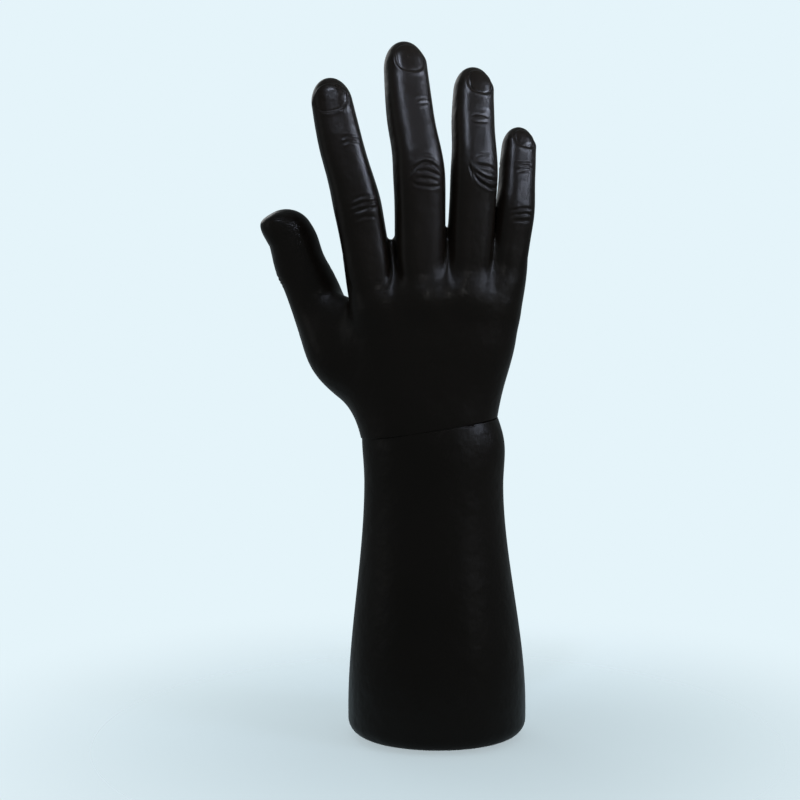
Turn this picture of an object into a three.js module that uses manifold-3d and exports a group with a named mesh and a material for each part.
// A life-size right hand on a forearm stand, for showing gloves, rings and watches.
// Two moulded shells make the forearm and two make the hand. The hand carries a square peg that drops
// into a swivel in the wrist, so that it turns there and lifts off to be dressed.
// Millimetres and degrees, +Z up. The origin is under the middle of the foot pad, the back of the hand
// faces -Y and the thumb is on the -X side.

import * as THREE from "three";
import { mergeVertices } from "three/addons/utils/BufferGeometryUtils.js";
import Module from "manifold-3d";

const wasm = await Module();
wasm.setup();

// Fits
const FIT = 0.3; // gap between pieces that meet
const TURN_GAP = 0.4; // gap round what turns or slides

// Forearm stand, an ellipse in section at every height
const BASE_WIDTH = 86.6;
const BASE_DEPTH = 78;
const BASE_EDGE_RADIUS = 8;
const BASE_STRAIGHT = 5; // height of the upright band above the rounded edge
const WAIST_HEIGHT = 125;
const WAIST_WIDTH = 67.2;
const WAIST_DEPTH = 53;
const WAIST_SHIFT = -1.7;
const FOREARM_WALL = 3;

// Wrist joint, where the hand meets the forearm
const WRIST_HEIGHT = 151;
const WRIST_SHIFT = -3.9;
const WRIST_TILT = 9; // the right-hand end of the joint is the higher one
const WRIST_WIDTH = 65.8;
const WRIST_DEPTH = 49;
const WRIST_KNOB = 1.6; // how far the end of the ulna swells the forearm under the joint

// Collars at the two sides of the wrist joint, each with a groove that holds a plate
const COLLAR_WALL = 6.5;
const COLLAR_LENGTH = 13;
const GROOVE_WALL = 3.5;
const PLATE_DEPTH = 5; // from the joint to the near face of each plate
const PLATE_THICKNESS = 4;

// Bottom of the stand
const PAD_THICKNESS = 2;
const PAD_PROUD = 1; // how far the pad stands below the shells
const COVER_THICKNESS = 4;
const COVER_INSET = 11; // from the base outline in to the cover's pocket
const LEDGE_WIDTH = 8;
const LEDGE_THICKNESS = 7;
const COVER_SCREWS = 4;
const SCREW_DIAMETER = 3;
const SCREW_LENGTH = 9;
const SCREW_HEAD_DIAMETER = 6;
const SCREW_HEAD_HEIGHT = 1.8;

// Ballast
const BALLAST_HEIGHT = 28;
const BALLAST_SIDE_GAP = 1.5;
const BOLT_DIAMETER = 6;
const BOLT_HEAD_DIAMETER = 12;
const BOLT_HEAD_HEIGHT = 3;
const WASHER_DIAMETER = 16;
const WASHER_THICKNESS = 1.6;
const NUT_ACROSS = 10;
const NUT_HEIGHT = 5;
const BOLT_END = 2; // how far a bolt's end stands out of its nut

// Swivel
const HUB_WALL = 3.5;
const HUB_LENGTH = 12;
const BUSH_WALL = 3; // at the corners of its square bore
const BUSH_FLANGE_THICKNESS = 2.4;
const BUSH_END = 4; // how far the bush stands out under its clip
const FRICTION_WASHER_THICKNESS = 1;
const CLIP_THICKNESS = 1.5;
const CLIP_WIDTH = 4;
const CLIP_GROOVE = 1.5;
const CLIP_OPENING = 40; // degrees

// Peg under the hand, and the bolt that runs up through it
const PEG_WALL = 1.7; // between the bolt head's pocket and the flats of the peg
const PEG_CORNER = 2;
const PEG_LENGTH = 36; // below the joint
const PEG_COLLAR_WIDTH = 5;
const PEG_BOLT_DIAMETER = 5;
const PEG_BOLT_HEAD_DIAMETER = 8.5;
const PEG_BOLT_HEAD_HEIGHT = 5;
const PEG_BOLT_RECESS = 1; // from the foot of the peg up to the bolt head
const PEG_WASHER_DIAMETER = 15;
const PEG_NUT_ACROSS = 8;
const PEG_NUT_HEIGHT = 4;

// Hand. Its own frame has its origin at the middle of the wrist joint and Z along the peg.
const HAND_WALL = 2.5;

const PALM_LENGTH = 93; // from the wrist joint to the webs of the fingers
const PALM_LEAN = 19; // how far its far end lies to the little finger's side
const PALM_RISE = 11.5; // how far the knuckles stand towards the back of the hand
const KNUCKLE_WIDTH = 85;
const KNUCKLE_DEPTH = 31.5;
const WEB_WIDTH = 74; // at the webs of the fingers
const WEB_DEPTH = 14.5;

// Sections of the palm from the wrist to the knuckles. The values are shares: of the palm's length, lean and
// rise, and of the way from the wrist's width and depth to the knuckles'.
const PALM_SECTIONS = [
  { at: 0, lean: 0, rise: 0, width: 0, depth: 0 },
  { at: 0.15, lean: 0.13, rise: 0.09, width: 0.22, depth: 0.29 },
  { at: 0.345, lean: 0.39, rise: 0.43, width: 0.58, depth: 0.54 },
  { at: 0.56, lean: 0.63, rise: 0.78, width: 0.84, depth: 0.77 },
  { at: 0.73, lean: 0.79, rise: 1, width: 1, depth: 1 },
];
// The last two sections, where the palm thins out between the fingers, as shares of the way to the webs
const PALM_END = [
  { at: 0.89, lean: 0.92, rise: 1, width: 0, depth: 0.32 },
  { at: 1, lean: 1, rise: 0.96, width: 1, depth: 1 },
];

const FINGER_LENGTH = 125.5; // of the middle finger, from its knuckle to its tip
const FINGER_BREADTH = 24.4; // of the middle finger

// Fingers. The knuckle is placed by shares of the knuckles' width, of the palm's rise and of its length.
// The three bones are shares of the middle finger's length, and the breadth is a share of its breadth.
// Each bone leans to the little finger's side and bends to the palm. The whole finger is rolled about its
// own length.
const FINGERS = [
  // index
  {
    knuckle: [-0.193, -1.13, 0.677],
    bones: [0.367, 0.263, 0.255],
    lean: [-1, -6, -2],
    bend: [3, 14, 21],
    breadth: 0.934,
    roll: -6,
  },
  // middle
  {
    knuckle: [0.088, -1.304, 0.667],
    bones: [0.454, 0.255, 0.291],
    lean: [6.5, 0.8, 4.8],
    bend: [3, 17, 21],
    breadth: 1,
    roll: 8,
  },
  // ring
  {
    knuckle: [0.351, -1.13, 0.624],
    bones: [0.462, 0.231, 0.211],
    lean: [9.5, 8.5, 11.5],
    bend: [3, 18, 24],
    breadth: 0.91,
    roll: 12,
  },
  // little
  {
    knuckle: [0.512, -0.696, 0.559],
    bones: [0.351, 0.191, 0.159],
    lean: [16, 14, 13.5],
    bend: [3, 17, 24],
    breadth: 0.77,
    roll: 16,
  },
];
const THUMB = {
  knuckle: [-0.2, 0.348, 0.043],
  bones: [0.454, 0.235, 0.259],
  lean: [-27, -11, -23],
  bend: [6, 0, -6],
  breadth: 0.943,
  roll: -62,
};

// Sections of a finger, by how far along it they lie: 0 at the knuckle, 1 and 2 at the joints, 3 at the tip.
// The other values are shares of the finger's breadth.
const FINGER_SECTIONS = [
  { at: 0, side: 0.34, back: 0.36, pad: 0.4 },
  { at: 0.25, side: 0.48, back: 0.5, pad: 0.58 },
  { at: 0.55, side: 0.475, back: 0.44, pad: 0.52 },
  { at: 1, side: 0.51, back: 0.46, pad: 0.44 },
  { at: 1.5, side: 0.465, back: 0.39, pad: 0.46 },
  { at: 2, side: 0.455, back: 0.38, pad: 0.4 },
  { at: 2.45, side: 0.44, back: 0.33, pad: 0.43 },
  { at: 2.78, side: 0.37, back: 0.25, pad: 0.36 },
  { at: 2.94, side: 0.23, back: 0.14, pad: 0.22 },
  { at: 3, side: 0.06, back: 0.04, pad: 0.06 },
];
const THUMB_SECTIONS = [
  { at: 0, side: 0.5, back: 0.5, pad: 0.5 },
  { at: 0.3, side: 0.78, back: 0.62, pad: 0.8 },
  { at: 0.65, side: 0.72, back: 0.6, pad: 0.88 },
  { at: 1, side: 0.54, back: 0.54, pad: 0.62 },
  { at: 1.5, side: 0.48, back: 0.5, pad: 0.48 },
  { at: 2, side: 0.5, back: 0.49, pad: 0.48 },
  { at: 2.4, side: 0.48, back: 0.43, pad: 0.58 },
  { at: 2.75, side: 0.38, back: 0.28, pad: 0.54 },
  { at: 2.93, side: 0.22, back: 0.13, pad: 0.32 },
  { at: 3, side: 0.06, back: 0.04, pad: 0.08 },
];
// Where the hollow of a digit starts and ends
const HOLLOW_FROM = 0.2;
const HOLLOW_TO = 2.5;

// Web of skin between the thumb and the index finger, from low on the palm to the finger. Its two ends are
// placed like the knuckles.
const THUMB_WEB_ENDS = [
  [-0.329, 0.087, 0.366],
  [-0.365, -0.174, 0.72],
];
const THUMB_WEB_SIDE = 13;
const THUMB_WEB_DEPTH = 8;

// Smoothness
const FOREARM_SIDES = 36;
const PALM_SIDES = 24;
const FINGER_SIDES = 12;
const HOLLOW_SIDES = 8;
const ROUND_SIDES = 20;
const SCREW_SIDES = 10;

// Materials
const blackPlastic = { color: 0x14120f, roughness: 0.42, metalness: 0 };
const greyPlastic = { color: 0x3b3d40, roughness: 0.55, metalness: 0 };
const nylon = { color: 0xd8d4c6, roughness: 0.5, metalness: 0 };
const rubber = { color: 0x1b1b1c, roughness: 0.85, metalness: 0 };
const zinc = { color: 0xb9bcc0, roughness: 0.35, metalness: 1 };
const castIron = { color: 0x46474a, roughness: 0.7, metalness: 1 };
const foam = { color: 0x232325, roughness: 0.95, metalness: 0 };

const radians = THREE.MathUtils.degToRad;
const lerp = THREE.MathUtils.lerp;
const smooth = THREE.MathUtils.smoothstep;

// From the hand's frame to the stand's frame
const wristFrame = new THREE.Matrix4()
  .makeRotationY(-radians(WRIST_TILT))
  .setPosition(WRIST_SHIFT, 0, WRIST_HEIGHT);

// A solid for joining and cutting, from a closed geometry
function solid(geometry) {
  const bare = geometry.clone();
  bare.deleteAttribute("normal");
  bare.deleteAttribute("uv");
  const merged = mergeVertices(bare);
  const vertProperties = new Float32Array(merged.attributes.position.array);
  const triVerts = new Uint32Array(merged.index.array);
  return new wasm.Manifold(new wasm.Mesh({ numProp: 3, vertProperties, triVerts }));
}

// The geometry of a solid
function geometryOf(shape) {
  const mesh = shape.getMesh();
  const geometry = new THREE.BufferGeometry();
  geometry.setAttribute("position", new THREE.BufferAttribute(mesh.vertProperties, 3));
  geometry.setIndex(new THREE.BufferAttribute(mesh.triVerts, 1));
  geometry.computeVertexNormals();
  return geometry;
}

// A closed skin over a stack of rings, which all have as many points and run anticlockwise seen from the end
function loft(rings) {
  const count = rings[0].length;
  const top = (rings.length - 1) * count;
  const index = [];
  for (let start = 0; start < top; start += count) {
    for (let i = 0; i < count; i++) {
      const a = start + i;
      const b = start + ((i + 1) % count);
      index.push(a, b, b + count, a, b + count, a + count);
    }
  }
  for (let i = 1; i + 1 < count; i++) {
    index.push(0, i + 1, i, top, top + i, top + i + 1);
  }
  const points = rings.flat().flatMap((point) => point.toArray());
  const geometry = new THREE.BufferGeometry();
  geometry.setAttribute("position", new THREE.Float32BufferAttribute(points, 3));
  geometry.setIndex(index);
  return geometry;
}

// A ring round a middle point. The side, back and front are how far it reaches along the two directions.
function ring(middle, across, forward, side, back, front, sides) {
  return Array.from({ length: sides }, (_, i) => {
    const angle = (2 * Math.PI * i) / sides;
    const reach = Math.sin(angle) < 0 ? back : front;
    return middle
      .clone()
      .addScaledVector(across, side * Math.cos(angle))
      .addScaledVector(forward, reach * Math.sin(angle));
  });
}

// A flat plate with an elliptical outline, its lower face at height z
function ellipsePlate(width, depth, z, thickness) {
  const outline = new THREE.Shape().absellipse(0, 0, width / 2, depth / 2, 0, 2 * Math.PI);
  const options = { depth: thickness, bevelEnabled: false, curveSegments: FOREARM_SIDES / 2 };
  return new THREE.ExtrudeGeometry(outline, options).translate(0, 0, z);
}

// A round plug from height low to high, which may also taper
function plug(diameter, low, high, sides = ROUND_SIDES, topDiameter = diameter) {
  const geometry = new THREE.CylinderGeometry(topDiameter / 2, diameter / 2, high - low, sides);
  return geometry.rotateX(Math.PI / 2).translate(0, 0, (low + high) / 2);
}

// A square bar with rounded corners from height low to high
function squareBar(side, corner, low, high) {
  const half = side / 2;
  const outline = new THREE.Shape();
  for (let turn = 0; turn < 4; turn++) {
    const angle = (turn * Math.PI) / 2;
    const middle = new THREE.Vector2(half - corner, half - corner).rotateAround(new THREE.Vector2(), angle);
    outline.absarc(middle.x, middle.y, corner, angle, angle + Math.PI / 2, false);
  }
  const options = { depth: high - low, bevelEnabled: false, curveSegments: 4 };
  return new THREE.ExtrudeGeometry(outline, options).translate(0, 0, low);
}

// A flat round ring from height low to high, with a gap in it if it is a clip
function flatRing(outer, inner, low, high, opening = 0) {
  const half = radians(opening) / 2;
  const outline = new THREE.Shape().absarc(0, 0, outer / 2, half, 2 * Math.PI - half, false);
  if (opening) {
    outline.absarc(0, 0, inner / 2, 2 * Math.PI - half, half, true);
  } else {
    outline.holes.push(new THREE.Path().absarc(0, 0, inner / 2, 0, 2 * Math.PI, true));
  }
  const options = { depth: high - low, bevelEnabled: false, curveSegments: ROUND_SIDES / 2 };
  return new THREE.ExtrudeGeometry(outline, options).translate(0, 0, low);
}

// Hexagon bolt heads and nuts, by their width across the flats
function hexagon(across, low, high) {
  return plug(across / Math.cos(Math.PI / 6), low, high, 6);
}

// A named piece with its own material
function piece(name, shape, finish) {
  const mesh = new THREE.Mesh(geometryOf(shape), new THREE.MeshStandardMaterial(finish));
  mesh.name = name;
  return mesh;
}

// Forearm outline

const shellBottom = PAD_PROUD;
const flareStart = shellBottom + BASE_EDGE_RADIUS + BASE_STRAIGHT;
const AXIS_X = new THREE.Vector3(1, 0, 0);
const AXIS_Y = new THREE.Vector3(0, 1, 0);

// A ring of the forearm at a height. It is level up to the waist and tilts more and more from there
// to the joint.
function forearmRing(z, inset) {
  const flare = smooth(z, flareStart, WAIST_HEIGHT);
  const rise = THREE.MathUtils.clamp((z - WAIST_HEIGHT) / (WRIST_HEIGHT - WAIST_HEIGHT), 0, 1);
  const narrowing = smooth(rise, 0, 1);
  const turn = rise ** 3;
  const tilt = radians(WRIST_TILT * turn);
  const knob = WRIST_KNOB * Math.sin(Math.PI * rise ** 1.5);
  const width = lerp(lerp(BASE_WIDTH, WAIST_WIDTH, flare), WRIST_WIDTH, narrowing) + knob;
  const depth = lerp(lerp(BASE_DEPTH, WAIST_DEPTH, flare), WRIST_DEPTH, narrowing) + knob;
  const middle = new THREE.Vector3(lerp(lerp(0, WAIST_SHIFT, flare), WRIST_SHIFT, turn), 0, z);
  const across = new THREE.Vector3(Math.cos(tilt), 0, Math.sin(tilt));
  const reach = depth / 2 - inset;
  return ring(middle, across, AXIS_Y, width / 2 - inset, reach, reach, FOREARM_SIDES);
}

function forearmOutside() {
  const edgeSteps = 4;
  const flareSteps = 7;
  const wristSteps = 6;
  const rings = [];
  for (let step = 0; step < edgeSteps; step++) {
    const angle = (Math.PI / 2) * (step / edgeSteps);
    const inset = BASE_EDGE_RADIUS * (1 - Math.sin(angle));
    rings.push(forearmRing(shellBottom + BASE_EDGE_RADIUS * (1 - Math.cos(angle)), inset));
  }
  rings.push(forearmRing(shellBottom + BASE_EDGE_RADIUS, 0));
  for (let step = 0; step < flareSteps; step++) {
    rings.push(forearmRing(lerp(flareStart, WAIST_HEIGHT, step / flareSteps), 0));
  }
  for (let step = 0; step <= wristSteps; step++) {
    rings.push(forearmRing(lerp(WAIST_HEIGHT, WRIST_HEIGHT, step / wristSteps), 0));
  }
  return solid(loft(rings));
}

// Bottom of the stand, from the pad up
const coverBottom = PAD_THICKNESS + FIT;
const coverTop = coverBottom + COVER_THICKNESS;
const ledgeBottom = coverTop + FIT;
const ledgeTop = ledgeBottom + LEDGE_THICKNESS;
const ledgeInset = COVER_INSET + LEDGE_WIDTH;
const screwInset = COVER_INSET + LEDGE_WIDTH / 2;

// A plate that follows the base outline, some way in from it
function basePlate(inset, low, high) {
  return ellipsePlate(BASE_WIDTH - 2 * inset, BASE_DEPTH - 2 * inset, low, high - low);
}

// Plates that follow the wrist outline, in the hand's frame
function wristOutlinePlate(inset, low, high) {
  return ellipsePlate(WRIST_WIDTH - 2 * inset, WRIST_DEPTH - 2 * inset, low, high - low);
}

// Where the cover screws stand, turned off the line between the two shells
const coverScrewPlaces = Array.from({ length: COVER_SCREWS }, (_, i) => {
  const angle = (2 * Math.PI * (i + 0.5)) / COVER_SCREWS;
  const x = (BASE_WIDTH / 2 - screwInset) * Math.cos(angle);
  return [x, (BASE_DEPTH / 2 - screwInset) * Math.sin(angle)];
});

function coverScrew(gap) {
  const wide = SCREW_HEAD_DIAMETER + 2 * gap;
  const narrow = SCREW_DIAMETER + 2 * gap;
  const head = plug(wide, 0, SCREW_HEAD_HEIGHT, SCREW_SIDES, narrow);
  const shank = plug(narrow, SCREW_HEAD_HEIGHT / 2, SCREW_LENGTH + gap, SCREW_SIDES);
  return solid(head.translate(0, 0, coverBottom)).add(solid(shank.translate(0, 0, coverBottom)));
}

// Hollow of the forearm, open at the bottom through the ledge and at the top through the collar
function forearmHollow() {
  const steps = 6;
  const top = WRIST_HEIGHT - COLLAR_LENGTH;
  const rings = [];
  for (let step = 0; step <= steps; step++) {
    rings.push(forearmRing(lerp(ledgeTop, top, step / steps), FOREARM_WALL));
  }
  const throat = wristOutlinePlate(COLLAR_WALL, -2 * COLLAR_LENGTH, COLLAR_LENGTH).applyMatrix4(wristFrame);
  const groove = wristOutlinePlate(GROOVE_WALL, -PLATE_DEPTH - PLATE_THICKNESS - FIT, -PLATE_DEPTH + FIT);
  return solid(loft(rings))
    .add(solid(throat))
    .add(solid(groove.applyMatrix4(wristFrame)))
    .add(solid(basePlate(COVER_INSET, 0, ledgeBottom)))
    .add(solid(basePlate(ledgeInset, 0, ledgeTop + FOREARM_WALL)));
}

// Half of all space, on one side of the line between the two forearm shells
function forearmHalf(side) {
  const reach = 2 * (BASE_WIDTH + WRIST_HEIGHT);
  const block = new THREE.BoxGeometry(reach, reach, reach);
  return solid(block.translate(0, (side * (reach + FIT)) / 2, 0));
}

function forearmShells() {
  let shell = forearmOutside().subtract(forearmHollow());
  for (const [x, y] of coverScrewPlaces) {
    shell = shell.subtract(coverScrew(FIT).translate(x, y, 0));
  }
  return [
    piece("forearm_front_shell", shell.intersect(forearmHalf(-1)), blackPlastic),
    piece("forearm_rear_shell", shell.intersect(forearmHalf(1)), blackPlastic),
  ];
}

// Bottom cover, pad and ballast

const ballastBottom = coverTop + FIT;
const ballastTop = ballastBottom + BALLAST_HEIGHT;
const washerTop = ballastTop + FIT + WASHER_THICKNESS;

function ballastBolt(gap) {
  const head = plug(BOLT_HEAD_DIAMETER + 2 * gap, coverBottom, coverBottom + BOLT_HEAD_HEIGHT + gap);
  const shank = plug(BOLT_DIAMETER + 2 * gap, coverBottom, washerTop + FIT + NUT_HEIGHT + BOLT_END);
  return solid(head).add(solid(shank));
}

function baseCover() {
  let cover = solid(basePlate(COVER_INSET + FIT, coverBottom, coverTop)).subtract(ballastBolt(FIT));
  for (const [x, y] of coverScrewPlaces) {
    cover = cover.subtract(coverScrew(FIT).translate(x, y, 0));
  }
  return piece("base_cover", cover, greyPlastic);
}

function coverScrews() {
  return coverScrewPlaces.map(([x, y], i) =>
    piece(`base_cover_screw_${i + 1}`, coverScrew(0).translate(x, y, 0), zinc),
  );
}

function ballast() {
  const weight = solid(basePlate(ledgeInset + BALLAST_SIDE_GAP, ballastBottom, ballastTop));
  const bore = BOLT_DIAMETER + 2 * FIT;
  const washer = flatRing(WASHER_DIAMETER, bore, ballastTop + FIT, washerTop);
  const nut = hexagon(NUT_ACROSS, washerTop + FIT, washerTop + FIT + NUT_HEIGHT);
  return [
    piece("ballast_weight", weight.subtract(ballastBolt(FIT)), castIron),
    piece("ballast_bolt", ballastBolt(0), zinc),
    piece("ballast_washer", solid(washer), zinc),
    piece("ballast_nut", solid(nut).subtract(ballastBolt(FIT)), zinc),
  ];
}

function basePad() {
  return piece("base_pad", solid(basePlate(COVER_INSET + FIT, 0, PAD_THICKNESS)), foam);
}

// Swivel in the wrist, in the hand's frame, where the joint is at height 0

const wristPlateTop = -PLATE_DEPTH;
const hubBottom = wristPlateTop - PLATE_THICKNESS - HUB_LENGTH;
const frictionTop = wristPlateTop + FIT + FRICTION_WASHER_THICKNESS;
const flangeBottom = frictionTop + FIT;
const flangeTop = flangeBottom + BUSH_FLANGE_THICKNESS;
const clipTop = hubBottom - FIT;
const clipBottom = clipTop - CLIP_THICKNESS;
const bushBottom = clipBottom - FIT - BUSH_END;
const pegSide = PEG_BOLT_HEAD_DIAMETER + 2 * FIT + 2 * PEG_WALL;
const bushBore = pegSide + 2 * TURN_GAP;
const bushBoreCorner = PEG_CORNER + TURN_GAP;
const bushBoreDiagonal = Math.SQRT2 * (bushBore - 2 * bushBoreCorner) + 2 * bushBoreCorner;
const bushDiameter = bushBoreDiagonal + 2 * BUSH_WALL;
const hubBore = bushDiameter + 2 * TURN_GAP;
const hubDiameter = hubBore + 2 * HUB_WALL;

function wristPlate() {
  const plate = wristOutlinePlate(GROOVE_WALL + FIT, wristPlateTop - PLATE_THICKNESS, wristPlateTop);
  const hub = plug(hubDiameter, hubBottom, wristPlateTop - PLATE_THICKNESS / 2);
  const bore = plug(hubBore, hubBottom - FIT, wristPlateTop + FIT);
  return piece("wrist_plate", solid(plate).add(solid(hub)).subtract(solid(bore)), greyPlastic);
}

function swivel() {
  const body = plug(bushDiameter, bushBottom, flangeTop);
  const flange = plug(hubDiameter, flangeBottom, flangeTop);
  const bore = squareBar(bushBore, bushBoreCorner, bushBottom - FIT, flangeTop + FIT);
  const grooveDiameter = bushDiameter - 2 * CLIP_GROOVE;
  const groove = flatRing(bushDiameter + 2 * FIT, grooveDiameter, clipBottom - FIT, clipTop + FIT);
  const clipInner = grooveDiameter + 2 * FIT;
  const clip = flatRing(clipInner + 2 * CLIP_WIDTH, clipInner, clipBottom, clipTop, CLIP_OPENING);
  const friction = flatRing(hubDiameter, bushDiameter + 2 * FIT, wristPlateTop + FIT, frictionTop);
  const bush = solid(body).add(solid(flange)).subtract(solid(bore)).subtract(solid(groove));
  return [
    piece("swivel_bush", bush, nylon),
    piece("swivel_clip", solid(clip), zinc),
    piece("friction_washer", solid(friction), rubber),
  ];
}

// Peg under the hand and the plate that carries it

const handPlateBottom = PLATE_DEPTH;
const handPlateTop = handPlateBottom + PLATE_THICKNESS;
const pegTop = handPlateBottom - FIT;
const pegBottom = -PEG_LENGTH;
const pegHeadBottom = pegBottom + PEG_BOLT_RECESS;
const pegHeadTop = pegHeadBottom + PEG_BOLT_HEAD_HEIGHT;
const pegWasherTop = handPlateTop + FIT + WASHER_THICKNESS;
const pegCollarBottom = flangeTop + FIT;

function pegBolt(gap) {
  const shankTop = pegWasherTop + FIT + PEG_NUT_HEIGHT + BOLT_END;
  const head = plug(PEG_BOLT_HEAD_DIAMETER + 2 * gap, pegHeadBottom, pegHeadTop + gap);
  const shank = plug(PEG_BOLT_DIAMETER + 2 * gap, pegHeadBottom, shankTop);
  return solid(head).add(solid(shank));
}

function peg() {
  const bar = squareBar(pegSide, PEG_CORNER, pegBottom, pegTop);
  const collar = plug(pegSide + 2 * PEG_COLLAR_WIDTH, pegCollarBottom, pegTop);
  const pocket = plug(PEG_BOLT_HEAD_DIAMETER + 2 * FIT, pegBottom - FIT, pegHeadTop);
  const bore = PEG_BOLT_DIAMETER + 2 * FIT;
  const washer = flatRing(PEG_WASHER_DIAMETER, bore, handPlateTop + FIT, pegWasherTop);
  const nut = hexagon(PEG_NUT_ACROSS, pegWasherTop + FIT, pegWasherTop + FIT + PEG_NUT_HEIGHT);
  const shape = solid(bar).add(solid(collar)).subtract(solid(pocket)).subtract(pegBolt(FIT));
  return [
    piece("wrist_peg", shape, nylon),
    piece("peg_bolt", pegBolt(0), zinc),
    piece("peg_washer", solid(washer), zinc),
    piece("peg_nut", solid(nut).subtract(pegBolt(FIT)), zinc),
  ];
}

function handPlate() {
  const plate = wristOutlinePlate(GROOVE_WALL + FIT, handPlateBottom, handPlateTop);
  return piece("hand_plate", solid(plate).subtract(pegBolt(FIT)), greyPlastic);
}

// Fingers and thumb

// A place in the hand, from shares of the knuckles' width, the palm's rise and its length
function placeInHand([across, rise, along]) {
  return new THREE.Vector3(across * KNUCKLE_WIDTH, rise * PALM_RISE, along * PALM_LENGTH);
}

// The joints of a digit, from its knuckle to its tip
function jointsOf(digit) {
  const joints = [placeInHand(digit.knuckle)];
  digit.bones.forEach((share, i) => {
    const lean = radians(digit.lean[i]);
    const bend = radians(digit.bend[i]);
    const along = new THREE.Vector3(
      Math.sin(lean) * Math.cos(bend),
      Math.sin(bend),
      Math.cos(lean) * Math.cos(bend),
    );
    joints.push(joints[i].clone().addScaledVector(along, share * FINGER_LENGTH));
  });
  return joints;
}

function digitCurve(digit) {
  return new THREE.CatmullRomCurve3(jointsOf(digit), false, "catmullrom", 0.5);
}

// A ring round a digit. The side reaches across it, the back to its nail and the pad to the palm.
function digitRing(digit, curve, section, inset, sides) {
  const share = section.at / digit.bones.length;
  const along = curve.getTangent(share);
  const roll = radians(digit.roll);
  const towardsBack = new THREE.Vector3(Math.sin(roll), -Math.cos(roll), 0);
  const across = new THREE.Vector3().crossVectors(along, towardsBack).normalize();
  const towardsPad = new THREE.Vector3().crossVectors(along, across).normalize();
  const size = (name) => section[name] * digit.breadth * FINGER_BREADTH - inset;
  const middle = curve.getPoint(share);
  return ring(middle, across, towardsPad, size("side"), size("back"), size("pad"), sides);
}

function digitLoft(digit, sections, inset, sides) {
  const curve = digitCurve(digit);
  return solid(loft(sections.map((section) => digitRing(digit, curve, section, inset, sides))));
}

function digitHollow(digit, sections) {
  const inner = sections.filter((section) => section.at > HOLLOW_FROM && section.at < HOLLOW_TO);
  return digitLoft(digit, inner, HAND_WALL, HOLLOW_SIDES);
}

// Palm

function palmRing(section, widths, depths, inset) {
  const middle = new THREE.Vector3(
    section.lean * PALM_LEAN,
    -section.rise * PALM_RISE,
    section.at * PALM_LENGTH,
  );
  const side = lerp(...widths, section.width) / 2 - inset;
  const reach = lerp(...depths, section.depth) / 2 - inset;
  return ring(middle, AXIS_X, AXIS_Y, side, reach, reach, PALM_SIDES);
}

function palmRings(inset) {
  const body = PALM_SECTIONS.map((section) =>
    palmRing(section, [WRIST_WIDTH, KNUCKLE_WIDTH], [WRIST_DEPTH, KNUCKLE_DEPTH], inset),
  );
  const end = PALM_END.map((section) =>
    palmRing(section, [KNUCKLE_WIDTH, WEB_WIDTH], [KNUCKLE_DEPTH, WEB_DEPTH], inset),
  );
  return [...body, ...end];
}

function palmSolid() {
  return solid(loft(palmRings(0)));
}

// The hollow starts above the collar and ends where the palm thins out
function palmHollow() {
  return solid(loft(palmRings(HAND_WALL).slice(1, -1)));
}

function webSolid() {
  const side = THUMB_WEB_SIDE;
  const depth = THUMB_WEB_DEPTH;
  const rings = THUMB_WEB_ENDS.map((end) =>
    ring(placeInHand(end), AXIS_X, AXIS_Y, side, depth, depth, FINGER_SIDES),
  );
  return solid(loft(rings));
}

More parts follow.
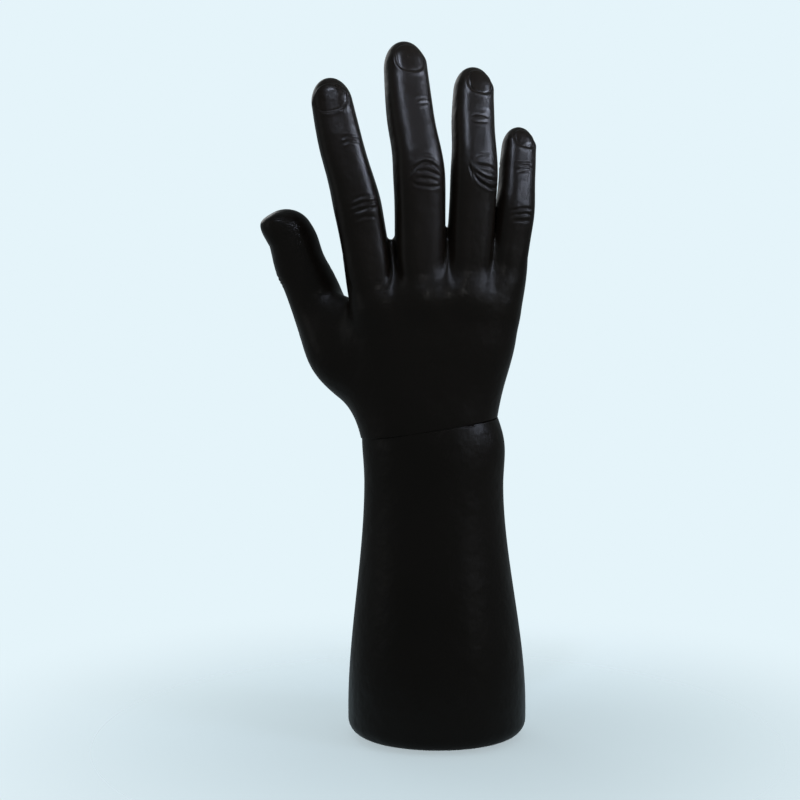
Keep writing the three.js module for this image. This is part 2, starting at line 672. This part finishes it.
function handShape() {
  const fingers = FINGERS.map((finger) => digitLoft(finger, FINGER_SECTIONS, 0, FINGER_SIDES));
  const outside = [...fingers, digitLoft(THUMB, THUMB_SECTIONS, 0, FINGER_SIDES), webSolid()];
  const hollows = FINGERS.map((finger) => digitHollow(finger, FINGER_SECTIONS));
  hollows.push(digitHollow(THUMB, THUMB_SECTIONS));
  const throat = wristOutlinePlate(COLLAR_WALL, -COLLAR_LENGTH, COLLAR_LENGTH + HAND_WALL);
  const groove = wristOutlinePlate(GROOVE_WALL, PLATE_DEPTH - FIT, PLATE_DEPTH + PLATE_THICKNESS + FIT);
  const below = new THREE.BoxGeometry(4 * WRIST_WIDTH, 4 * WRIST_WIDTH, 2 * WRIST_WIDTH);
  const joined = outside.reduce((shape, part) => shape.add(part), palmSolid());
  const hollow = hollows.reduce((shape, part) => shape.add(part), palmHollow());
  return joined
    .subtract(hollow)
    .subtract(solid(throat))
    .subtract(solid(groove))
    .subtract(solid(below.translate(0, 0, FIT - WRIST_WIDTH)));
}

// The palm's side of the line between the two hand shells. The parting surface runs through the middle of
// every digit and from their knuckles down to the middle of the wrist.
function palmSide(shift) {
  const far = 4 * WRIST_WIDTH;
  const steps = 16;
  const chains = [THUMB, ...FINGERS].map((digit) => {
    const root = new THREE.Vector3(placeInHand(digit.knuckle).x / 2, 0, -COLLAR_LENGTH);
    return [root, ...jointsOf(digit)];
  });
  const highest = Math.max(...chains.flat().map((joint) => joint.z)) + COLLAR_LENGTH;
  const rings = [];
  for (let step = 0; step <= steps; step++) {
    const z = lerp(-COLLAR_LENGTH, highest, step / steps);
    const points = chains.map((joints) => pointAtHeight(joints, z));
    points.unshift(points[0].clone().setX(-far));
    points.push(points.at(-1).clone().setX(far));
    const near = points.map((point) => point.clone().setY(point.y + shift));
    const back = points.map((point) => point.clone().setY(far)).reverse();
    rings.push([...near, ...back]);
  }
  return solid(loft(rings));
}

// The point at a height on a chain of joints, which goes on straight past its last one
function pointAtHeight(joints, z) {
  const last = joints.length - 2;
  const after = joints.findIndex((joint) => joint.z > z) - 1;
  const i = after < 0 ? (z < joints[0].z ? 0 : last) : after;
  const share = (z - joints[i].z) / (joints[i + 1].z - joints[i].z);
  return joints[i].clone().lerp(joints[i + 1], share);
}

function handShells() {
  const shape = handShape();
  return [
    piece("hand_back_shell", shape.subtract(palmSide(-FIT / 2)), blackPlastic),
    piece("hand_palm_shell", shape.intersect(palmSide(FIT / 2)), blackPlastic),
  ];
}

// Assembly

const forearm = new THREE.Group();
forearm.add(...forearmShells(), baseCover(), ...coverScrews(), ...ballast(), basePad());

const wrist = new THREE.Group();
wrist.position.set(WRIST_SHIFT, 0, WRIST_HEIGHT);
wrist.rotation.y = -radians(WRIST_TILT);
wrist.add(wristPlate(), ...swivel());

const hand = new THREE.Group();
hand.position.copy(wrist.position);
hand.rotation.copy(wrist.rotation);
hand.add(...handShells(), handPlate(), ...peg());

const mannequin = new THREE.Group();
mannequin.add(forearm, wrist, hand);

export default mannequin;
